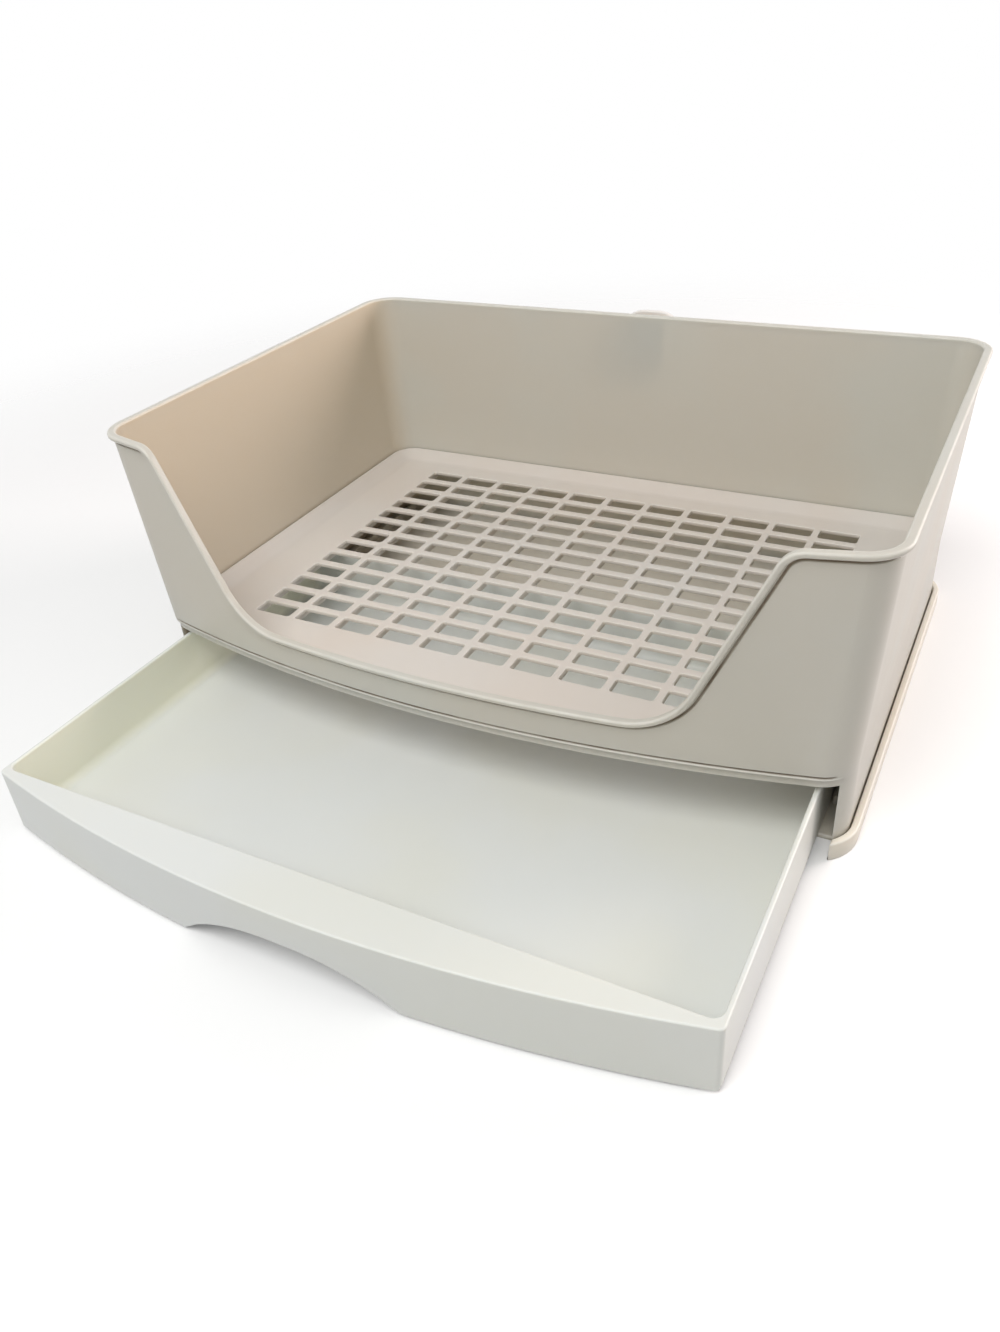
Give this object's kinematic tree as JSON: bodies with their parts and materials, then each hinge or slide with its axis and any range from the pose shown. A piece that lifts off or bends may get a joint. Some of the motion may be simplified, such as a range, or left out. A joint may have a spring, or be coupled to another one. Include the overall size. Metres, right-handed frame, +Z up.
{
  "type": "small animal litter box",
  "caption": "Rectangular small-animal litter box: high-walled pan with a low U-shaped entry and slotted floor over a pull-out drawer, on a rimmed base tray, with a rear cage clamp.",
  "frame": {"origin": "on the flat underside of the base tray, on the centre line, below the middle of the pan's depth", "axes": "+X to the right seen from the front, +Y to the back (the clamp's side), -Y to the front (the way the drawer opens), +Z up"},
  "size_m": [0.4114, 0.4562, 0.1607],
  "materials": {
    "base_plastic": "satin moulded plastic, cream",
    "drawer_plastic": "satin moulded plastic, pale grey-white",
    "pan_plastic": "satin moulded plastic, warm beige",
    "grate_plastic": "satin moulded plastic, warm beige",
    "clamp_plastic": "satin moulded plastic, off-white"
  },
  "bodies": {
    "base": {"base_tray": "base_plastic"},
    "drawer": {"drawer": "drawer_plastic"},
    "pan": {"litter_pan": "pan_plastic", "clamp_bolt": "clamp_plastic"},
    "grate": {"floor_grate": "grate_plastic"},
    "clamp": {"clamp_plate": "clamp_plastic"},
    "nut": {"clamp_wing_nut": "clamp_plastic"}
  },
  "joints": [
    {"name": "drawer_slide", "type": "slide", "parent": "base", "child": "drawer", "axis": [0, -1, 0], "range_m": [-0.135, 0.08]},
    {"name": "pan_lift", "type": "slide", "parent": "base", "child": "pan", "axis": [0, 0, 1], "range_m": [0, 0.06]},
    {"name": "grate_lift", "type": "slide", "parent": "pan", "child": "grate", "axis": [0, 0, 1], "range_m": [0, 0.12]},
    {"name": "clamp_travel", "type": "slide", "parent": "pan", "child": "clamp", "axis": [0, 1, 0], "range_m": [-0.0045, 0.006]},
    {"name": "nut_turn", "type": "hinge", "parent": "clamp", "child": "nut", "pos_m": [0, 0.1592, 0.1405], "axis": [0, 1, 0], "range_deg": [-540, 720]}
  ],
  "couplings": [
    {"joint": "clamp_travel", "follows": "nut_turn", "m_per_rad": 0.00047746}
  ]
}
